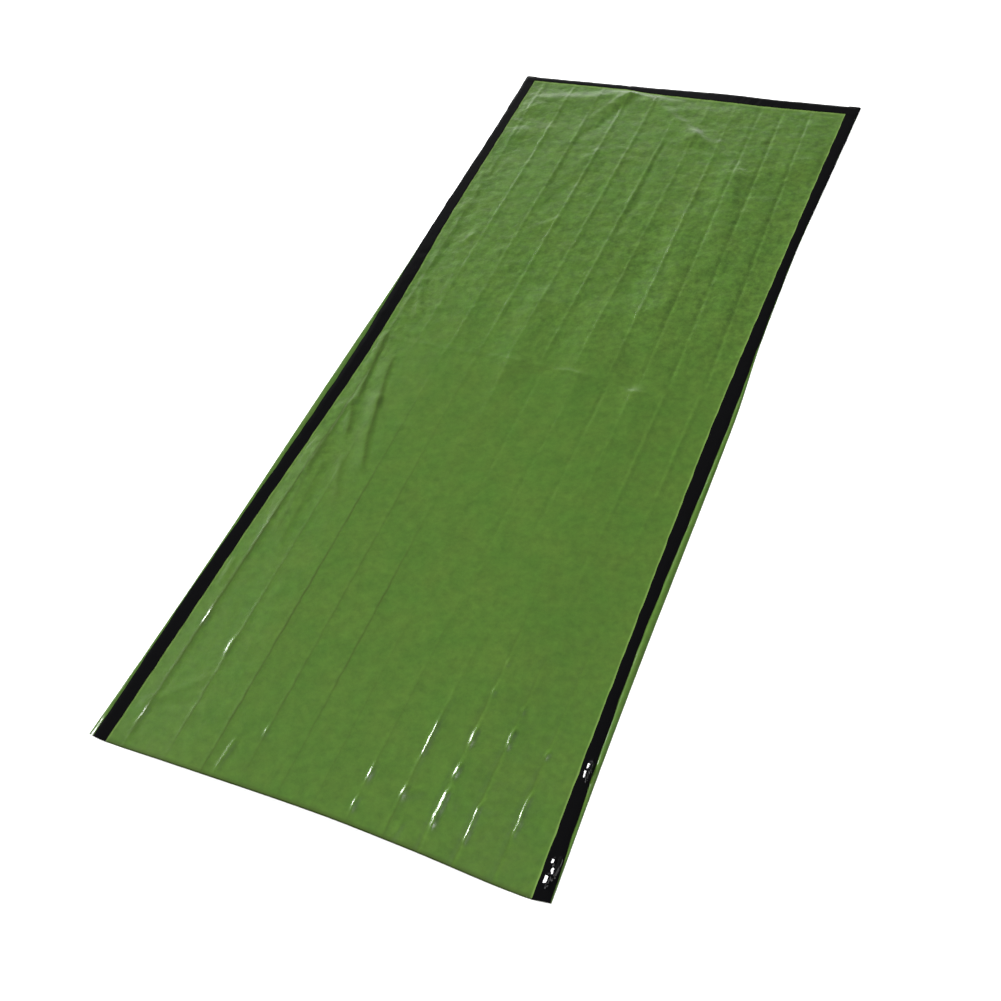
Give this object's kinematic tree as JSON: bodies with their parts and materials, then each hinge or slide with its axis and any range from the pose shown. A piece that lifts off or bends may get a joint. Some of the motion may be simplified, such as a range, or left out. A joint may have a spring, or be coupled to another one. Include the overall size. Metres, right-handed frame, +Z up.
{
  "type": "emergency sleeping bag",
  "caption": "Thin plastic film emergency sleeping bag lying flat, its side and foot edges closed with black tape, open at the mouth.",
  "frame": {"origin": "middle of the bag's underside, at the level of the surface that it lies on", "axes": "+X to the right edge as seen from the mouth, +Y along the bag to its closed foot, +Z up from the surface"},
  "size_m": [0.923, 2.138, 0.0154],
  "materials": {
    "film_front": "green plastic film with a soft sheen",
    "film_back": "green plastic film with a soft sheen",
    "tape": "glossy black adhesive tape"
  },
  "bodies": {
    "root": {"film_front": "film_front", "film_back": "film_back", "tape_left": "tape", "tape_right": "tape", "tape_foot": "tape"}
  },
  "joints": []
}
